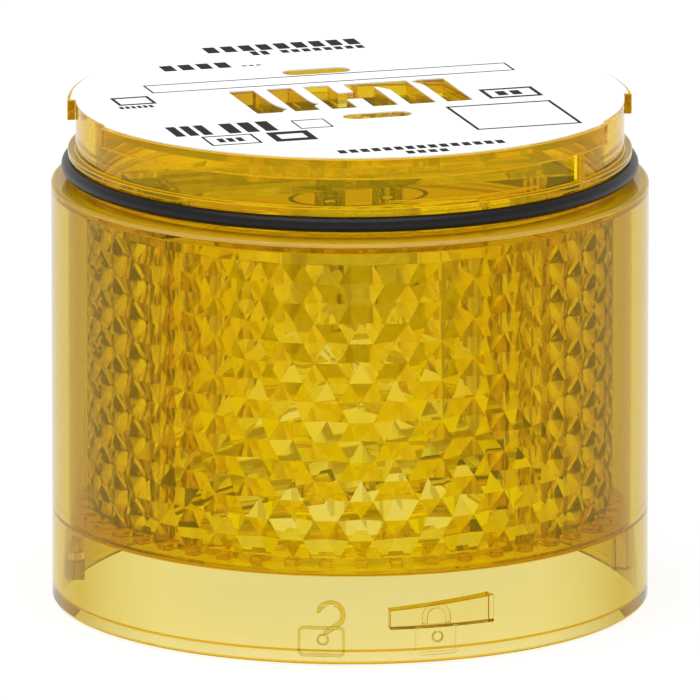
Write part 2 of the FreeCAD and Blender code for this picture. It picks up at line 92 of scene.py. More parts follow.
# %% Turned pieces


def new_object(name, mesh, body, materials):
    piece = bpy.data.objects.new(name, mesh)
    bpy.context.scene.collection.objects.link(piece)
    for material in materials:
        mesh.materials.append(material)
    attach(piece, body)
    return piece


def finished(name, bm, body, materials, sharp=12.0):
    """Turns a bmesh into a piece that shades smoothly except across sharp edges."""
    mesh = bpy.data.meshes.new(name)
    bm.to_mesh(mesh)
    bm.free()
    mesh.shade_smooth()
    mesh.set_sharp_from_angle(angle=math.radians(sharp))
    print(f"{name}: {len(mesh.polygons)} faces")
    return new_object(name, mesh, body, materials)


def arc(radius, start, end, steps=10, centre=(0.0, 0.0)):
    """Points along an arc, in mm; angles in degrees from +X."""
    points = []
    for i in range(steps + 1):
        turn = math.radians(start + (end - start) * i / steps)
        points.append((centre[0] + radius * math.cos(turn), centre[1] + radius * math.sin(turn)))
    return points


def azimuth_point(radius, azimuth, z):
    turn = math.radians(azimuth - 90)
    return Vector((radius * math.cos(turn), radius * math.sin(turn), z)) * MM


def turned(profile, steps=STEPS, start=None, sweep=None, bevel=0.0, segments=2):
    """Spins a closed outline of (radius, height) in mm, all round or over a sweep in degrees."""
    bm = bmesh.new()
    first = 0.0 if start is None else start
    verts = [bm.verts.new(azimuth_point(r, first, z)) for r, z in profile]
    edges = [bm.edges.new((a, b)) for a, b in zip(verts, verts[1:] + verts[:1])]
    whole = sweep is None
    angle = math.tau if whole else math.radians(sweep)
    ends = None
    if not whole:
        ends = bmesh.ops.contextual_create(bm, geom=edges)["faces"]
    spun = bmesh.ops.spin(
        bm, geom=verts + edges + (ends or []), cent=(0, 0, 0), axis=(0, 0, 1),
        angle=angle, steps=steps, use_merge=whole, use_duplicate=False,
    )
    if whole:
        bmesh.ops.remove_doubles(bm, verts=bm.verts, dist=MM * 1e-4)
    poles = [v for v in bm.verts if v.co.xy.length < MM * 1e-3]
    bmesh.ops.remove_doubles(bm, verts=poles, dist=MM * 1e-2)
    bmesh.ops.recalc_face_normals(bm, faces=bm.faces)
    if bevel:
        soften(bm, bevel, segments)
    return bm


def soften(bm, width, segments=2, angle=25.0):
    """Bevels the edges where two faces meet at more than an angle, and marks the new faces for a
    painted gold glow.
    """
    glow_mark = bm.faces.layers.float.get("edge") or bm.faces.layers.float.new("edge")
    limit = math.radians(angle)
    hard = [e for e in bm.edges if len(e.link_faces) == 2 and e.calc_face_angle(0) > limit]
    made = bmesh.ops.bevel(
        bm, geom=hard, offset=width * MM, offset_type="OFFSET", segments=segments, profile=0.5,
        affect="EDGES", clamp_overlap=True, material=-1,
    )
    for face in made["faces"]:
        face[glow_mark] = 1.0


def joined(*parts):
    """One bmesh from several closed ones."""
    whole = bmesh.new()
    for part in parts:
        scratch = bpy.data.meshes.new("scratch")
        part.to_mesh(scratch)
        part.free()
        whole.from_mesh(scratch)
        bpy.data.meshes.remove(scratch)
    return whole


# %% Flat pieces


def flat_mesh(outlines, low, high):
    """A plate between two heights, filled between nested closed outlines in mm."""
    curve = bpy.data.curves.new("outline", "CURVE")
    curve.dimensions = "2D"
    curve.fill_mode = "BOTH"
    curve.extrude = (high - low) / 2 * MM
    for outline in outlines:
        spline = curve.splines.new("POLY")
        spline.points.add(len(outline) - 1)
        for point, (x, y) in zip(spline.points, outline):
            point.co = (x * MM, y * MM, 0, 1)
        spline.use_cyclic_u = True
    carrier = bpy.data.objects.new("outline", curve)
    mesh = bpy.data.meshes.new_from_object(carrier)
    mesh.transform(Matrix.Translation((0, 0, (high + low) / 2 * MM)))
    bm = bmesh.new()
    bm.from_mesh(mesh)
    bmesh.ops.remove_doubles(bm, verts=bm.verts, dist=MM * 1e-3)
    bmesh.ops.recalc_face_normals(bm, faces=bm.faces)
    bpy.data.objects.remove(carrier)
    bpy.data.curves.remove(curve)
    bpy.data.meshes.remove(mesh)
    return bm


def rectangle(left, right, front, back):
    return [(left, front), (right, front), (right, back), (left, back)]


def long_hole(x, y, length, width):
    """An outline with round ends, along X."""
    end = (length - width) / 2
    right = arc(width / 2, -90, 90, centre=(x + end, y))
    return right + arc(width / 2, 90, 270, centre=(x - end, y))


# %% [markdown]
# ## Camera, floor and light
# A long lens far away, thirteen degrees above the bench, sees the drum almost without
# perspective. The studio is a white sweep with one large soft box overhead: clear plastic shows
# only what is around it, so a darker zone in the surroundings gives the prisms something to bend.

# %% Camera
AZIMUTH, ELEVATION, DISTANCE = math.radians(-16.7), math.radians(13.23), 2.16
AIM = Vector((0.0, 0.0, 29.26)) * MM
SENSOR, LENS = 36.0, 947.8

scene = bpy.context.scene
camera = bpy.data.objects.new("camera", bpy.data.cameras.new("camera"))
scene.collection.objects.link(camera)
scene.camera = camera
camera.data.sensor_width = SENSOR
camera.data.lens = LENS
camera.data.clip_start, camera.data.clip_end = 0.1, 20.0
away = Vector((
    math.sin(AZIMUTH) * math.cos(ELEVATION), -math.cos(AZIMUTH) * math.cos(ELEVATION),
    math.sin(ELEVATION),
))
camera.location = AIM + away * DISTANCE
camera.rotation_euler = (-away).to_track_quat("-Z", "Y").to_euler()
scene.view_settings.view_transform = "Standard"
scene.cycles.max_bounces = 32
scene.cycles.transmission_bounces = 28
scene.cycles.transparent_max_bounces = 48
print("camera", [round(c, 3) for c in camera.location])

# %% Nodes and colours


def linear(code):
    """An sRGB hex colour as linear red, green, blue and alpha."""
    parts = [int(code[i:i + 2], 16) / 255 for i in (1, 3, 5)]
    return tuple(c / 12.92 if c <= 0.04045 else ((c + 0.055) / 1.055) ** 2.4 for c in parts) + (1,)


def node(tree, kind, settings=None, inputs=None):
    """Adds a node, sets its properties, and fills or links its inputs."""
    made = tree.nodes.new(kind)
    for name, value in (settings or {}).items():
        setattr(made, name, value)
    for name, value in (inputs or {}).items():
        if isinstance(value, bpy.types.NodeSocket):
            tree.links.new(value, made.inputs[name])
        else:
            made.inputs[name].default_value = value
    return made


def new_material(name):
    material = bpy.data.materials.new(name)
    material.use_nodes = True
    material.node_tree.nodes.clear()
    return material, material.node_tree


# %% Floor and lights
floor_material, tree = new_material("white_sweep")
grain = node(tree, "ShaderNodeTexNoise", inputs={"Scale": 30.0, "Detail": 2.0})
tone = node(tree, "ShaderNodeMapRange", inputs={
    "Value": grain.outputs["Fac"], "To Min": 0.55, "To Max": 0.6,
})
shade = node(tree, "ShaderNodeBsdfPrincipled", inputs={
    "Base Color": linear("#8c8c8c"), "Roughness": tone.outputs["Result"],
    "Specular IOR Level": 0.0, "Emission Color": linear("#ffffff"), "Emission Strength": 0.77,
})
node(tree, "ShaderNodeOutputMaterial", inputs={"Surface": shade.outputs[0]})

bm = bmesh.new()
bmesh.ops.create_grid(bm, x_segments=1, y_segments=1, size=8.0)
floor_mesh = bpy.data.meshes.new("floor")
bm.to_mesh(floor_mesh)
bm.free()
floor_mesh.materials.append(floor_material)
floor = bpy.data.objects.new("floor", floor_mesh)
floor.location.z = -0.0002
scene.collection.objects.link(floor)


def soft_box(name, place, size, power):
    """A square soft light that faces the object."""
    light = bpy.data.lights.new(name, "AREA")
    light.shape = "RECTANGLE"
    light.size, light.size_y = size
    light.energy = power
    lamp = bpy.data.objects.new(name, light)
    lamp.location = place
    lamp.rotation_euler = (AIM - lamp.location).to_track_quat("-Z", "Y").to_euler()
    scene.collection.objects.link(lamp)


# %% Place the light and paint the surroundings
soft_box("overhead", Vector((-0.2, -0.3, 1.6)), (1.6, 1.6), 16.0)

world = bpy.data.worlds.new("studio")
scene.world = world
world.use_nodes = True
tree = world.node_tree
tree.nodes.clear()
place = node(tree, "ShaderNodeTexCoord")
height = node(tree, "ShaderNodeSeparateXYZ", inputs={"Vector": place.outputs["Generated"]})
wall = node(tree, "ShaderNodeValToRGB", inputs={"Fac": height.outputs["Z"]})
ramp = wall.color_ramp
ramp.elements[0].position, ramp.elements[0].color = 0.0, (0.92, 0.92, 0.92, 1)
ramp.elements[1].position, ramp.elements[1].color = 1.0, (0.8, 0.8, 0.8, 1)
for position, level in ((0.15, 0.88), (0.35, 0.7), (0.6, 0.6), (0.8, 0.7)):
    knot = ramp.elements.new(position)
    knot.color = (level, level, level, 1)
glow = node(tree, "ShaderNodeBackground", inputs={"Color": wall.outputs["Color"], "Strength": 1.0})
node(tree, "ShaderNodeOutputWorld", inputs={"Surface": glow.outputs[0]})

# %% [markdown]
# ## Transparent yellow polycarbonate
# Signal lenses are polycarbonate, dyed in the mass and moulded in a polished tool. The dye makes
# the colour grow with the thickness of plastic that light crosses: pale through one wall, gold
# through four, orange along an edge. A volume absorption does that. A surface tint that deepens
# where the surface slants away from the view helps it: partly because a slanted wall is crossed
# by a longer path, and partly as painted shade that darkens faces seen aslant. Rounded edges
# gather dyed light and look like gold lines; that glow is painted: their faces, which carry the
# attribute "edge", get a solid gold. Rays from the lamps pass straight through, tinted, because
# bent ones would leave the inside too dark.

# %% Clear plastics
PLASTIC_IOR = 1.585
# Painted glow: how far the gold on marked edge faces replaces the clear plastic.
EDGE_GLOW_SOLID = 0.65
SLANT_START = 0.65
FLOW_SCALE = 60.0
FLOW_DEPTH = 0.5 * MM


def clear_plastic(name, dye, density, shadow, ior=PLASTIC_IOR, waves=0.02, gloss="#ffffff",
                  haze=0.0, colours=("#ffffff", "#ffffff"), slants=(0.25, 0.72),
                  edges="#ffffff", slant_shade=0.0):
    """Polished plastic dyed in the mass. Its tint runs from colours[0], seen square on, to
    colours[1], seen aslant, partly for the longer path and partly as painted shade; haze is how
    milky it is and veil what slanted faces add to that, so that more painted shade shows. edges is
    the painted gold glow on the rounded edges."""
    material, tree = new_material(name)
    place = node(tree, "ShaderNodeTexCoord")
    flow = node(tree, "ShaderNodeTexNoise", inputs={
        "Vector": place.outputs["Object"], "Scale": FLOW_SCALE, "Detail": 1.0,
    })
    ripple = node(tree, "ShaderNodeBump", inputs={
        "Strength": waves, "Distance": FLOW_DEPTH, "Height": flow.outputs["Fac"],
    })
    # Painted shade: the tint follows how far each face turns from the view, as well as the dye's
    # path.
    slant = node(tree, "ShaderNodeLayerWeight", inputs={"Blend": 0.5})
    tint = node(tree, "ShaderNodeValToRGB", inputs={"Fac": slant.outputs["Facing"]})
    for knot, position, colour in zip(tint.color_ramp.elements, slants, colours):
        knot.position = position
        knot.color = linear(colour)
    # Painted glow: faces marked as rounded edges get a solid gold, in place of the light they would
    # gather.
    glow_mark = node(tree, "ShaderNodeAttribute", {"attribute_name": "edge"})
    tint_with_painted_edge_glow = node(tree, "ShaderNodeMix", {"data_type": "RGBA"}, {
        0: glow_mark.outputs["Fac"], 6: tint.outputs["Color"], 7: linear(edges),
    })
    # Slanted faces lose clarity so that the painted tint darkens them: painted shade.
    clear = node(tree, "ShaderNodeMapRange", inputs={
        "Value": slant.outputs["Facing"], "From Min": SLANT_START, "To Min": 1.0 - haze,
        "To Max": 1.0 - haze - slant_shade,
    })
    clear_or_solid = node(tree, "ShaderNodeMath", {"operation": "MULTIPLY_ADD", "use_clamp": True}, {
        0: glow_mark.outputs["Fac"], 1: -EDGE_GLOW_SOLID, 2: clear.outputs["Result"],
    })
    body = node(tree, "ShaderNodeBsdfPrincipled", inputs={
        "Base Color": tint_with_painted_edge_glow.outputs[2], "Roughness": 0.0, "IOR": ior,
        "Transmission Weight": clear_or_solid.outputs[0], "Normal": ripple.outputs["Normal"],
        "Specular Tint": linear(gloss),
    })
    through = node(tree, "ShaderNodeBsdfTransparent", inputs={"Color": linear(shadow)})
    rays = node(tree, "ShaderNodeLightPath")
    surface = node(tree, "ShaderNodeMixShader", inputs={
        0: rays.outputs["Is Shadow Ray"], 1: body.outputs[0], 2: through.outputs[0],
    })
    dyed = node(tree, "ShaderNodeVolumeAbsorption", inputs={
        "Color": linear(dye), "Density": density,
    })
    node(tree, "ShaderNodeOutputMaterial", inputs={
        "Surface": surface.outputs[0], "Volume": dyed.outputs[0],
    })
    return material


# %% [markdown]
# ## One dye, six mouldings
# All the yellow pieces share a dye, but not a wall. The drum is thin and reads pale; the collar is
# deep gold; the deck is lighter, so that its slots glow. The raised marks are nearly colourless
# except on their sides, which are painted a darker gold: painted shade that draws them as outlines.
# The drum, marks and collar bend light less than solid polycarbonate would (1.25, not 1.585),
# because at the full index their thin rims turn dark. The sleeve keeps a high index: its facets
# have to sparkle, and the facets seen square on are painted near white, a painted highlight. The
# lamp's dome is acrylic.

# %% Yellow mouldings and the lamp's dome
SHADOW_TINT = "#fffbe8"
# The edge gold is a painted glow along rounded edges, not a colour of the plastic.
GLOSS, PAINTED_EDGE_GLOW, LENS_IOR, PRISM_IOR, ACRYLIC_IOR = "#fbf366", "#ecc01c", 1.25, 1.5, 1.49
# Painted shade: the drum turns from cream to deep gold where it is seen aslant, at its sides.
LENS_PLASTIC = clear_plastic(
    "lens_polycarbonate", "#fcf600", 330.0, SHADOW_TINT, ior=LENS_IOR, gloss=GLOSS, waves=0.003,
    colours=("#f2e7bb", "#c4a718"), slants=(0.25, 0.6), edges=PAINTED_EDGE_GLOW, slant_shade=0.35,
)
# Painted shade: the marks' sides, seen aslant, and their bevels are painted dark gold so that they
# read as outlines.
RELIEF_PLASTIC = clear_plastic(
    "relief_polycarbonate", "#f9f000", 60.0, SHADOW_TINT, ior=LENS_IOR, gloss=GLOSS, waves=0.0,
    colours=("#fffdf4", "#c08800"), slants=(0.35, 0.7), edges="#c08400",
)
# Painted shade: the collar deepens to a darker gold where it is seen aslant.
COLLAR_PLASTIC = clear_plastic(
    "collar_polycarbonate", "#fdf900", 400.0, SHADOW_TINT, ior=LENS_IOR, gloss=GLOSS, haze=0.08,
    waves=0.003, colours=("#f8e63c", "#e6c210"), slants=(0.2, 0.6), edges=PAINTED_EDGE_GLOW, slant_shade=0.35,
)
# Partly painted shade: the deck's slot walls, seen aslant, take a deeper gold.
DECK_PLASTIC = clear_plastic(
    "deck_polycarbonate", "#fdf900", 140.0, SHADOW_TINT, gloss=GLOSS, haze=0.1, waves=0.003,
    colours=("#fff3b4", "#f4d850"), edges=PAINTED_EDGE_GLOW,
)
# Painted highlight: facets that face the view are painted near white and the rest gold, standing in
# for each facet's light and shade.
PRISM_PLASTIC = clear_plastic(
    "prism_polycarbonate", "#fdfc00", 600.0, SHADOW_TINT, ior=PRISM_IOR, gloss=GLOSS, haze=0.06,
    waves=0.0, colours=("#fffff6", "#efd800"), slants=(0.012, 0.14), edges=PAINTED_EDGE_GLOW,
)
CARRIER_PLASTIC = clear_plastic(
    "carrier_polycarbonate", "#fcf800", 600.0, SHADOW_TINT, gloss=GLOSS,
)
LAMP_CLEAR = clear_plastic("lamp_dome_plastic", "#f4f8fa", 20.0, "#ffffff", ior=ACRYLIC_IOR)
print("clear plastics:", len(bpy.data.materials) - 1)

# %% [markdown]
# ## Opaque finishes
# No real surface has one flat colour, so one noise varies the colour, the roughness and the
# relief of each finish together. Its scale comes from the real grain: a millimetre or less.

# %% Opaque finishes


def opaque(name, colours, settings, scale, stretch=(1, 1, 1), bump=0.05, rough=(0.4, 0.5)):
    """A surface whose colour, roughness and relief vary with one noise; scale is per metre."""
    material, tree = new_material(name)
    place = node(tree, "ShaderNodeTexCoord")
    spread = node(tree, "ShaderNodeMapping", inputs={
        "Vector": place.outputs["Object"], "Scale": stretch,
    })
    noise = node(tree, "ShaderNodeTexNoise", inputs={
        "Vector": spread.outputs["Vector"], "Scale": scale, "Detail": 4.0, "Roughness": 0.6,
    })
    tint = node(tree, "ShaderNodeValToRGB", inputs={"Fac": noise.outputs["Fac"]})
    for knot, position, colour in zip(tint.color_ramp.elements, (0.35, 0.65), colours):
        knot.position = position
        knot.color = linear(colour)
    sheen = node(tree, "ShaderNodeMapRange", inputs={
        "Value": noise.outputs["Fac"], "To Min": rough[0], "To Max": rough[1],
    })
    relief = node(tree, "ShaderNodeBump", inputs={
        "Strength": bump, "Distance": 0.1 * MM, "Height": noise.outputs["Fac"],
    })
    body = node(tree, "ShaderNodeBsdfPrincipled", inputs={
        "Base Color": tint.outputs["Color"], "Roughness": sheen.outputs["Result"],
        "Normal": relief.outputs["Normal"], **settings,
    })
    node(tree, "ShaderNodeOutputMaterial", inputs={"Surface": body.outputs[0]})
    return material


# %% Label and seal finishes
# Matt white polyester film, with black ink that hardly shines.
LABEL_FILM = opaque(
    "label_polyester_film", ("#fcfcfc", "#ffffff"), {"IOR": 1.5}, 900.0, rough=(0.45, 0.55),
)
LABEL_INK = opaque("label_ink", ("#020202", "#060606"), {"IOR": 1.2}, 2000.0, rough=(0.5, 0.6))
# Moulded nitrile rubber is near black with a soft, broad highlight.
SEAL_RUBBER = opaque(
    "moulded_nitrile_rubber", ("#0b0b0d", "#121214"), {"IOR": 1.33}, 1500.0,
    bump=0.1, rough=(0.3, 0.42),
)

# %% Metal finishes
# Rolled and tinned strip has a grain along its length, here the height of the tower.
TINNED_BRASS = opaque(
    "tinned_brass_strip", ("#cfc7b4", "#e3ddcd"), {"Metallic": 1.0}, 700.0,
    stretch=(1, 1, 0.06), bump=0.1, rough=(0.22, 0.38),
)
# Nickel plate is warm and bright; drawn wire is greyer and duller; a solder dome is lumpy.
NICKEL = opaque(
    "nickel_plated_brass", ("#c9c5bc", "#dcd9d2"), {"Metallic": 1.0}, 900.0,
    bump=0.06, rough=(0.18, 0.3),
)
SPRING_WIRE = opaque(
    "drawn_spring_wire", ("#8d8f94", "#b4b6ba"), {"Metallic": 1.0}, 2500.0,
    bump=0.1, rough=(0.25, 0.4),
)
SOLDER = opaque(
    "solder_dome", ("#b7b9bd", "#d5d6d9"), {"Metallic": 1.0}, 1800.0,
    bump=0.2, rough=(0.2, 0.4),
)

# %% Lamp and holder finishes
# Phenolic board is a dull tan, glass insulator nearly black and shiny, solder mask a clean white.
INSULATOR = opaque(
    "phenolic_disc", ("#cfc6b0", "#ddd5c2"), {"IOR": 1.55}, 1200.0, rough=(0.45, 0.6),
)
BLACK_GLASS = opaque(
    "black_insulator", ("#141214", "#201d20"), {"IOR": 1.52}, 1400.0, rough=(0.15, 0.3),
)
BOARD = opaque(
    "white_solder_mask", ("#e9ece8", "#f4f6f3"), {"IOR": 1.5}, 1600.0, rough=(0.3, 0.45),
)
# The chips are capped with silicone full of yellow phosphor.
CHIP = opaque("chip_silicone", ("#e8b53a", "#f2c650"), {"IOR": 1.42}, 2200.0, rough=(0.2, 0.35))
print("materials:", len(bpy.data.materials))

# %% [markdown]
# ## The lens drum
# The outer wall is one moulding: a drum with a shoulder on top and a skirt below, whose recess
# takes the collar of the unit underneath. Its outline is turned in one go. Three ramped lugs and
# a stop stand inside the skirt; each is a short sweep, left a hair's breadth off the wall so that
# the clear shells don't share a face.

# %% Lens drum
SKIRT_R, WALL_R, ROOF_R = 33.4, 33.0, 29.6
ROOF_THICK, RECESS_TOP = 1.5, RECESS_Z
SHELL_GAP = 0.03
ROUND, HOLD = 0.5, 0.05
LEAD_IN_WIDTH, LEAD_IN_HEIGHT, RIM_BREAK = 0.8, 1.4, 0.3
# The rim's gold share is a painted glow on the shoulder.
PAINTED_RIM_GLOW, DRUM_BEVEL, LUG_BEVEL = 0.7, 0.15, 0.08

drum = turned([
    (SKIRT_R, LEAD_IN_HEIGHT), (SKIRT_R + LEAD_IN_WIDTH, 0), (LENS_R - RIM_BREAK, 0),
    (LENS_R, RIM_BREAK), (LENS_R, SHOULDER_Z - ROUND - HOLD),
    *arc(ROUND, 0, 90, 8, (LENS_R - ROUND, SHOULDER_Z - ROUND)),
    (LENS_R - ROUND - HOLD, SHOULDER_Z),
    (ROOF_R, SHOULDER_Z), (ROOF_R, SHOULDER_Z - ROOF_THICK), (WALL_R, SHOULDER_Z - ROOF_THICK),
    (WALL_R, RECESS_TOP), (SKIRT_R, RECESS_TOP),
], bevel=DRUM_BEVEL)
# Painted glow: the shoulder's round and flat top are marked to take most of the painted edge gold.
glow_mark = drum.faces.layers.float["edge"]
for face in drum.faces:
    if face.calc_center_median().z > (SHOULDER_Z - ROUND) * MM:
        face[glow_mark] = PAINTED_RIM_GLOW

# %% Coupling lugs
LUG_R, LUG_LOW, LUG_TOP, LUG_RISE, LUG_SWEEP = 31.7, 3.8, 6.1, 1.0, 21.8
LUG_AZIMUTH, LUG_PITCH = 2.1, 104.5


def ramped_lug(azimuth):
    """A lug whose top climbs along the sweep."""
    start = azimuth - LUG_SWEEP / 2
    lug = turned([
        (LUG_R, LUG_LOW), (SKIRT_R - SHELL_GAP, LUG_LOW), (SKIRT_R - SHELL_GAP, LUG_TOP),
        (LUG_R, LUG_TOP),
    ], steps=24, start=start, sweep=LUG_SWEEP)
    for v in lug.verts:
        if v.co.z > (LUG_LOW + LUG_TOP) / 2 * MM:
            turn = math.degrees(math.atan2(v.co.x, -v.co.y)) - start
            v.co.z += LUG_RISE * MM * (turn % 360) / LUG_SWEEP
    soften(lug, LUG_BEVEL)
    return lug


# %% [markdown]
# ## Raised marks
# The open and closed padlocks show where the coupling stands, and a capsule near the shoulder
# marks the position. They are low ridges: outlines drawn flat, given a height, bevelled, and then
# laid round the drum. A flat line's x becomes a distance round the wall.

# %% Lines as outlines


def stroke(points, width, closed=False):
    """The outline or outlines of a line of a width drawn through points."""
    sides = ([], [])
    count = len(points)
    for i, (x, y) in enumerate(points):
        before = points[i - 1] if i or closed else points[0]
        after = points[(i + 1) % count] if i + 1 < count or closed else points[-1]
        along = Vector((after[0] - before[0], after[1] - before[1])).normalized()
        for side, sign in zip(sides, (0.5, -0.5)):
            side.append((x - along.y * width * sign, y + along.x * width * sign))
    return [sides[0], sides[1]] if closed else [sides[0] + sides[1][::-1]]


def round_box(left, right, low, high, corner):
    """A closed path round a box with rounded corners, with points along its sides."""
    path = []
    for x, y, start in ((right - corner, high - corner, 0), (left + corner, high - corner, 90),
                        (left + corner, low + corner, 180), (right - corner, low + corner, 270)):
        path += arc(corner, start, start + 90, 5, (x, y))
    dense = []
    for (x0, y0), (x1, y1) in zip(path, path[1:] + path[:1]):
        steps = max(1, round(math.hypot(x1 - x0, y1 - y0) / 0.5))
        dense += [(x0 + (x1 - x0) * i / steps, y0 + (y1 - y0) * i / steps) for i in range(steps)]
    return dense


# %% Raised marks on the drum
RIDGE, FINE_RIDGE, HOOK_RIDGE = 0.35, 0.22, 0.6
RIDGE_FOOT, RIDGE_TOP, RIDGE_BEVEL = 0.01, 0.14, 0.09


def on_drum(outlines):
    """A low relief: flat outlines of (distance round the drum, height) laid on its wall."""
    relief = flat_mesh(outlines, RIDGE_FOOT, RIDGE_TOP)
    soften(relief, RIDGE_BEVEL, segments=1, angle=60.0)
    for v in relief.verts:
        turn = math.degrees(v.co.x / MM / LENS_R)
        v.co = azimuth_point(LENS_R + v.co.z / MM, turn, v.co.y / MM)
    bmesh.ops.recalc_face_normals(relief, faces=relief.faces)
    return relief


SHACKLE_X, SHACKLE_Y, SHACKLE_OUTER, SHACKLE_INNER, SHACKLE_FOOT = -0.08, 5.45, 1.74, 1.04, 4.7
CLOSED_PADLOCK = [
    stroke(round_box(-2.4, 2.45, 1.15, 4.45, 0.5), RIDGE, closed=True),
    [arc(SHACKLE_OUTER, 180, 0, 16, (SHACKLE_X, SHACKLE_Y))
     + [(SHACKLE_X + SHACKLE_OUTER, SHACKLE_FOOT), (SHACKLE_X + SHACKLE_INNER, SHACKLE_FOOT)]
     + arc(SHACKLE_INNER, 0, 180, 12, (SHACKLE_X, SHACKLE_Y))
     + [(SHACKLE_X - SHACKLE_INNER, SHACKLE_FOOT), (SHACKLE_X - SHACKLE_OUTER, SHACKLE_FOOT)]],
    stroke(arc(0.6, 100, 440, 16, (0.05, 3.1)), FINE_RIDGE),
]
HOOK = (
    [(-14.0, 6.55)] + arc(1.45, 160, -50, 18, (-12.45, 6.0)) + [(-12.6, 4.2), (-13.1, 3.75)]
)
OPEN_PADLOCK = [
    stroke(round_box(-16.1, -10.95, 1.2, 4.45, 0.5), RIDGE, closed=True),
    stroke(HOOK, HOOK_RIDGE),
    stroke(arc(0.6, 60, 400, 16, (-13.35, 3.05)), FINE_RIDGE),
]
TILT, CAPSULE_CENTRE = Matrix.Rotation(math.radians(38.0), 2), Vector((1.4, 47.9))
CAPSULE = stroke(round_box(-0.45, 0.45, -1.9, 1.9, 0.45), FINE_RIDGE, closed=True)
POSITION_MARK = [
    [tuple(TILT @ Vector(point) + CAPSULE_CENTRE) for point in loop] for loop in CAPSULE
]

# %% Join the drum and its relief
STOP_R, STOP_LOW, STOP_AZIMUTH, STOP_SWEEP = 31.9, 5.4, 54.3, 3.1
lugs = [ramped_lug(LUG_AZIMUTH + LUG_PITCH * i) for i in (-1, 0, 1)]
turn_stop = turned([
    (STOP_R, STOP_LOW), (SKIRT_R - SHELL_GAP, STOP_LOW),
    (SKIRT_R - SHELL_GAP, RECESS_TOP - SHELL_GAP), (STOP_R, RECESS_TOP - SHELL_GAP),
], steps=6, start=STOP_AZIMUTH, sweep=STOP_SWEEP, bevel=LUG_BEVEL)
ridges = [on_drum(shape) for shape in CLOSED_PADLOCK + OPEN_PADLOCK + [POSITION_MARK]]
lens = finished("lens_drum", drum, "lens_shell", [LENS_PLASTIC])
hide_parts("lens_body")
relief = finished("lens_relief", joined(*lugs, turn_stop, *ridges), "lens_shell", [RELIEF_PLASTIC])

# %% [markdown]
# ## The prismatic sleeve
# Rows of six-sided dimples cover the sleeve, in columns every 7.5 degrees, each column half a
# pitch off its neighbours. One dimple is a hexagon poked inwards. Copies fill a flat sheet that
# is then rolled up: the sheet's x becomes an angle, its y a height and its z a radius.

# %% Prismatic sleeve
PITCH, COLUMNS, ROWS = 4.68, 48, 9
FACET_LOW, FACET_HIGH, FACET_R, FACET_DEPTH = 11.75, 46.6, 30.85, 0.95
FIRST_CENTRE, FIRST_COLUMN, SLEEVE_BORE, FLANGE_TOP = 11.53, 0.7, 29.5, 10.9
SIDE_DEGREES = 5.0


def dimple_sheet():
    """A flat sheet of dimples, with x counted in sides of a hexagon."""
    side = PITCH / math.sqrt(3)
    sheet = bmesh.new()
    bmesh.ops.create_circle(sheet, cap_ends=True, segments=6, radius=side)
    bmesh.ops.rotate(sheet, verts=sheet.verts, matrix=Matrix.Rotation(math.radians(30), 3, "Z"))
    bmesh.ops.poke(sheet, faces=sheet.faces, offset=-FACET_DEPTH)
    cell = sheet.verts[:] + sheet.edges[:] + sheet.faces[:]
    for row in range(1, ROWS):
        copy = bmesh.ops.duplicate(sheet, geom=cell)["geom"]
        verts = [v for v in copy if isinstance(v, bmesh.types.BMVert)]
        bmesh.ops.translate(sheet, verts=verts, vec=(0, PITCH * row, 0))
    column = sheet.verts[:] + sheet.edges[:] + sheet.faces[:]
    for number in range(1, COLUMNS):
        copy = bmesh.ops.duplicate(sheet, geom=column)["geom"]
        verts = [v for v in copy if isinstance(v, bmesh.types.BMVert)]
        shift = PITCH / 2 if number % 2 else 0.0
        bmesh.ops.translate(sheet, verts=verts, vec=(1.5 * side * number, shift, 0))
    for v in sheet.verts:
        v.co.x /= side
    return sheet


def rolled(sheet, low, phase):
    """Rolls the sheet up, so that each side of a hexagon spans SIDE_DEGREES."""
    for v in sheet.verts:
        v.co = azimuth_point(FACET_R + v.co.z, phase + SIDE_DEGREES * v.co.x, low + v.co.y)
    bmesh.ops.remove_doubles(sheet, verts=sheet.verts, dist=0.02 * MM)


def grow(bm, rim, radius, z):
    """Extrudes an open rim to a ring of a radius and height, and returns the new rim."""
    made = bmesh.ops.extrude_edge_only(bm, edges=rim)["geom"]
    for v in (g for g in made if isinstance(g, bmesh.types.BMVert)):
        flat = v.co.xy.normalized() * radius * MM
        v.co = (flat.x, flat.y, z * MM)
    return [g for g in made if isinstance(g, bmesh.types.BMEdge)]


def prism_sleeve():
    sheet = dimple_sheet()
    rolled(sheet, FIRST_CENTRE, FIRST_COLUMN)
    for z, up in ((FACET_LOW, -1), (FACET_HIGH, 1)):
        bmesh.ops.bisect_plane(
            sheet, geom=sheet.verts[:] + sheet.edges[:] + sheet.faces[:], dist=1e-7,
            plane_co=(0, 0, z * MM), plane_no=(0, 0, up), clear_outer=True,
        )
    middle = (FACET_LOW + FACET_HIGH) / 2 * MM
    rims = [e for e in sheet.edges if e.is_boundary]
    low_rim = [e for e in rims if e.verts[0].co.z < middle]
    high_rim = [e for e in rims if e.verts[0].co.z > middle]
    low_rim = grow(sheet, low_rim, FACET_R - FACET_DEPTH, FACET_LOW)
    low_rim = grow(sheet, low_rim, FACET_R - FACET_DEPTH, FLANGE_TOP)
    low_rim = grow(sheet, low_rim, SLEEVE_FLANGE_R, FLANGE_TOP)
    low_rim = grow(sheet, low_rim, SLEEVE_FLANGE_R, RECESS_Z)
    low_rim = grow(sheet, low_rim, SLEEVE_BORE, RECESS_Z)
    high_rim = grow(sheet, high_rim, FACET_R, FACET_HIGH)
    high_rim = grow(sheet, high_rim, FACET_R, SLEEVE_TOP_Z)
    high_rim = grow(sheet, high_rim, SLEEVE_BORE, SLEEVE_TOP_Z)
    bmesh.ops.bridge_loops(sheet, edges=low_rim + high_rim)
    bmesh.ops.recalc_face_normals(sheet, faces=sheet.faces)
    return sheet


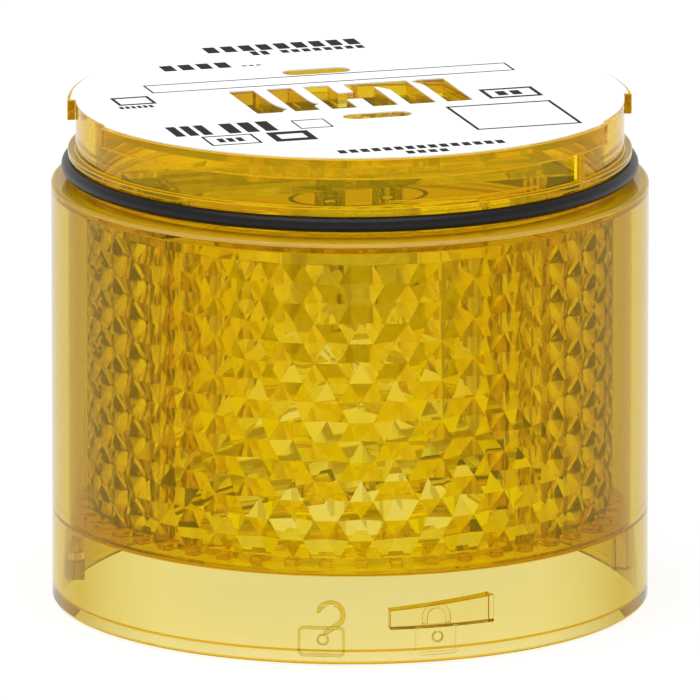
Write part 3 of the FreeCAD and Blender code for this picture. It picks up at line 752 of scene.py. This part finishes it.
POST_INNER, POST_OUTER, POST_SWEEP, POST_BEVEL = 29.95, 31.8, 2.6, 0.06
POST_LOW, POST_HIGH = FLANGE_TOP + SHELL_GAP, FACET_LOW - 0.05


def posts():
    """Small posts between the flange and the lowest facets, one under each column."""
    row = turned([
        (POST_INNER, POST_LOW), (POST_OUTER, POST_LOW), (POST_OUTER, POST_HIGH),
        (POST_INNER, POST_HIGH),
    ], steps=2, start=FIRST_COLUMN - POST_SWEEP / 2, sweep=POST_SWEEP, bevel=POST_BEVEL)
    bmesh.ops.spin(
        row, geom=row.verts[:] + row.edges[:] + row.faces[:], cent=(0, 0, 0), axis=(0, 0, 1),
        angle=math.tau * (COLUMNS - 1) / COLUMNS, steps=COLUMNS - 1, use_duplicate=True,
    )
    return row


sleeve = finished(
    "prism_sleeve_facets", joined(prism_sleeve(), posts()), "lens_shell", [PRISM_PLASTIC],
)
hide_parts("prism_sleeve")

# %% [markdown]
# ## The coupling collar
# The collar is a ring with a groove for the seal, a neck, and a flange cut into three tabs by the
# entry notches. A deck closes it. The contact slots run down through the deck into a block. Each
# slot is wider than its blade and some have a curved flare, because the next unit's blades swing
# about the axis as it is turned home; the flares are arcs about that axis.

# %% Collar ring and tabs
GROOVE_R, GROOVE_TOP, RING_R, RING_THICK, NECK_R, TAB_LOW = 31.95, 53.0, 33.0, 0.7, 32.1, 57.1
COLLAR_BORE, DECK_THICK, COLLAR_BEVEL, RAIL_BEVEL = 29.8, 1.6, 0.1, 0.04
NOTCHES = ((-104.7, -77.7), (48.3, 77.3), (153.0, 181.0))

ring = turned([
    (COLLAR_BORE, COLLAR_Z), (GROOVE_R, COLLAR_Z), (GROOVE_R, GROOVE_TOP), (RING_R, GROOVE_TOP),
    (RING_R, GROOVE_TOP + RING_THICK), (NECK_R, GROOVE_TOP + RING_THICK), (NECK_R, DECK_Z),
    (COLLAR_BORE, DECK_Z),
], bevel=COLLAR_BEVEL)
tabs = []
for (_, begin), (end, _) in zip(NOTCHES, NOTCHES[1:] + NOTCHES[:1]):
    tabs.append(turned([
        (NECK_R + SHELL_GAP, TAB_LOW), (TAB_R, TAB_LOW), (TAB_R, DECK_Z),
        (NECK_R + SHELL_GAP, DECK_Z),
    ], steps=64, start=begin, sweep=(end - begin) % 360, bevel=COLLAR_BEVEL))

# %% Rail and rib on the neck
RAIL_R, RAIL_LOW = 32.5, 54.2
for outer, high, start, sweep in ((RAIL_R, 54.45, -8.6, 34.5), (RAIL_R, 56.0, -9.5, 0.8),
                                  (RING_R, TAB_LOW - SHELL_GAP, 37.2, 1.6)):
    low = RAIL_LOW if outer == RAIL_R else GROOVE_TOP + RING_THICK + SHELL_GAP
    tabs.append(turned([
        (NECK_R + SHELL_GAP, low), (outer, low), (outer, high), (NECK_R + SHELL_GAP, high),
    ], steps=24, start=start, sweep=sweep, bevel=RAIL_BEVEL))

# %% Contact slots
SLOT_FRONT, SLOT_BACK = -5.8, 6.7
DECK_HOLES = [
    [(-12.95, SLOT_FRONT), (-9.85, SLOT_FRONT), (-9.6, -5.0), (-8.7, -4.35)]
    + arc(9.75, 206.5, 181.0)[1:] + [(-9.85, SLOT_BACK), (-12.95, SLOT_BACK)],
    [(-8.35, SLOT_FRONT), (-5.25, SLOT_FRONT), (-5.3, -3.4), (-4.45, -2.6)]
    + arc(5.2, 210.0, 182.0)[1:] + [(-5.25, SLOT_BACK), (-8.35, SLOT_BACK)],
    [(-3.85, SLOT_FRONT), (-0.75, SLOT_FRONT), (-0.75, -1.25), (1.1, -1.25), (1.1, SLOT_FRONT),
     (4.25, SLOT_FRONT), (4.25, 4.4)]
    + arc(6.05, 45.5, 21.5)[:-1] + [(5.6, 2.1), (5.6, SLOT_FRONT), (8.85, SLOT_FRONT),
     (8.85, SLOT_BACK), (1.1, SLOT_BACK), (1.1, 2.4), (-0.75, 2.4), (-0.75, SLOT_BACK),
     (-3.85, SLOT_BACK)],
    [(10.15, SLOT_FRONT), (13.35, SLOT_FRONT), (13.35, SLOT_BACK), (10.15, SLOT_BACK),
     (9.95, 6.4), (9.1, 5.85)] + arc(10.8, 32.7, 20.0)[1:],
    long_hole(0.2, 14.5, 8.3, 2.9),
    long_hole(0.2, -10.4, 8.3, 2.9),
]
deck = flat_mesh([arc(COLLAR_BORE - SHELL_GAP, 0, 360, 128)[:-1]] + DECK_HOLES,
                 DECK_Z - DECK_THICK, DECK_Z)
BLOCK_LOW, BLOCK_MARGIN = 52.0, 1.3
block = flat_mesh(
    [rectangle(-14.3, 14.6, SLOT_FRONT - BLOCK_MARGIN, SLOT_BACK + BLOCK_MARGIN)] + DECK_HOLES[:4],
    BLOCK_LOW, DECK_Z - DECK_THICK - SHELL_GAP,
)
collar = finished("coupling_collar", joined(ring, *tabs), "lens_shell", [COLLAR_PLASTIC])
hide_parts("cap_collar")
slot_deck = finished("slotted_deck", joined(deck, block), "lens_shell", [DECK_PLASTIC])

# %% [markdown]
# ## Label and seal
# The label is a disc of white film, stuck on the deck and pierced where the deck is. Its print is
# kept to plain rules, boxes and bars. The seal is a ring of round rubber cord in its groove.

# %% Label
NECK_INSET, FILM_GAP = 0.05, 0.01
label_edge = []
for (low, high), (after, _) in zip(NOTCHES, NOTCHES[1:] + NOTCHES[:1]):
    label_edge += arc(NECK_R - NECK_INSET, low - 90, high - 90, 12)
    label_edge += arc(LABEL_R, high - 90, high - 90 + (after - high) % 360, 60)
label = finished(
    "label_film_disc",
    flat_mesh([label_edge] + DECK_HOLES, LABEL_Z + FILM_GAP, LABEL_TOP_Z - FILM_GAP),
    "lens_shell", [LABEL_FILM],
)
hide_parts("cap_label")


def frame_outline(left, right, front, back, side, end):
    """A box outline: side is the line width of its front and back, end that of its two ends."""
    inner = rectangle(left + end, right - end, front + side, back - side)
    return [rectangle(left, right, front, back), inner]


# %% Generic print, as boxes and bars
INK_LOW, INK_HIGH, BAR_SHARE = LABEL_TOP_Z - FILM_GAP, LABEL_TOP_Z, 0.68
RULED = [(-21.6, 22.8, 8.3, 12.6, 0.35, 0.25), (9.0, 21.8, -21.4, -8.5, 0.5, 0.4),
         (-27.2, -22.6, 2.9, 7.1, 0.6, 0.4), (15.4, 21.9, -5.8, -0.7, 0.7, 0.5),
         (-22.8, -16.7, -20.8, -15.8, 0.4, 0.3), (-15.0, -10.0, -20.8, -15.8, 1.3, 0.9),
         (-10.4, -6.4, -15.0, -10.4, 0.35, 0.2)]
BARS = [(-9.2, 10.3, 27.4, 30.5, 9), (-4.4, -1.9, 24.9, 27.0, 2), (-0.7, 9.9, 25.2, 26.8, 8),
         (-16.9, -8.0, 19.3, 22.2, 4), (-7.4, -4.8, 19.4, 19.9, 3), (-27.5, -23.2, 1.1, 2.3, 6),
         (-25.4, -20.4, -15.0, -9.8, 3), (-19.0, -12.4, -15.0, -9.8, 3),
         (16.9, 20.4, -4.4, -2.2, 2), (-21.4, -18.0, -19.3, -17.3, 3),
         (-9.8, 10.6, -28.9, -27.2, 15), (-2.3, 3.1, -31.2, -29.7, 4)]
prints = [flat_mesh(frame_outline(*box), INK_LOW, INK_HIGH) for box in RULED]
for left, right, front, back, count in BARS:
    step = (right - left) / count
    blocks = [rectangle(left + step * i, left + step * (i + BAR_SHARE), front, back)
              for i in range(count)]
    prints.append(flat_mesh(blocks, INK_LOW, INK_HIGH))
ink = finished("label_print", joined(*prints), "lens_shell", [LABEL_INK])

# %% Seal ring
SEAL_R, SEAL_SECTION, SEAL_Z = 32.85, 0.9, 51.8
section = [(SEAL_R + SEAL_SECTION * math.cos(t), SEAL_Z + SEAL_SECTION * math.sin(t))
           for t in (math.tau * i / 24 for i in range(24))]
seal = finished("seal_ring", turned(section), "lens_shell", [SEAL_RUBBER], sharp=60.0)
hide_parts("o_ring")

# %% [markdown]
# ## The inside
# The carrier, contact strips, lampholder and lamp keep their CAD shapes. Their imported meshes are
# loose triangles, so each is copied, welded and shaded smoothly except across its edges.

# %% Finishes for the carried-over pieces
FINISHES = {
    "carrier_plastic": CARRIER_PLASTIC, "contact_metal": TINNED_BRASS, "holder_metal": NICKEL,
    "insulator_plastic": INSULATOR, "spring_steel": SPRING_WIRE, "lamp_metal": NICKEL,
    "lamp_insulator": BLACK_GLASS, "solder": SOLDER, "lamp_lens": LAMP_CLEAR,
    "circuit_board": BOARD, "chip_plastic": CHIP,
}
slots = {part["node"]: part["material_slot"] for part in frame["record"]["subparts"]}
bodies = {n: body for body, names in frame["record"]["behaviour"]["bodies"].items() for n in names}


def welded(name):
    """A welded, smoothly shaded copy of a CAD node that stands for it."""
    bm = bmesh.new()
    bm.from_mesh(frame["nodes"][name].data)
    bmesh.ops.remove_doubles(bm, verts=bm.verts, dist=0.002 * MM)
    bmesh.ops.dissolve_limit(bm, angle_limit=math.radians(0.5), verts=bm.verts, edges=bm.edges)
    piece = finished(name + "_finished", bm, bodies[name], [FINISHES[slots[name]]], sharp=35.0)
    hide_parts(name)
    return piece


# %% Carry the CAD pieces over
for name in slots:
    if slots[name] in FINISHES:
        piece = welded(name)
        if name.startswith("contact_spring"):
            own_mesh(piece)
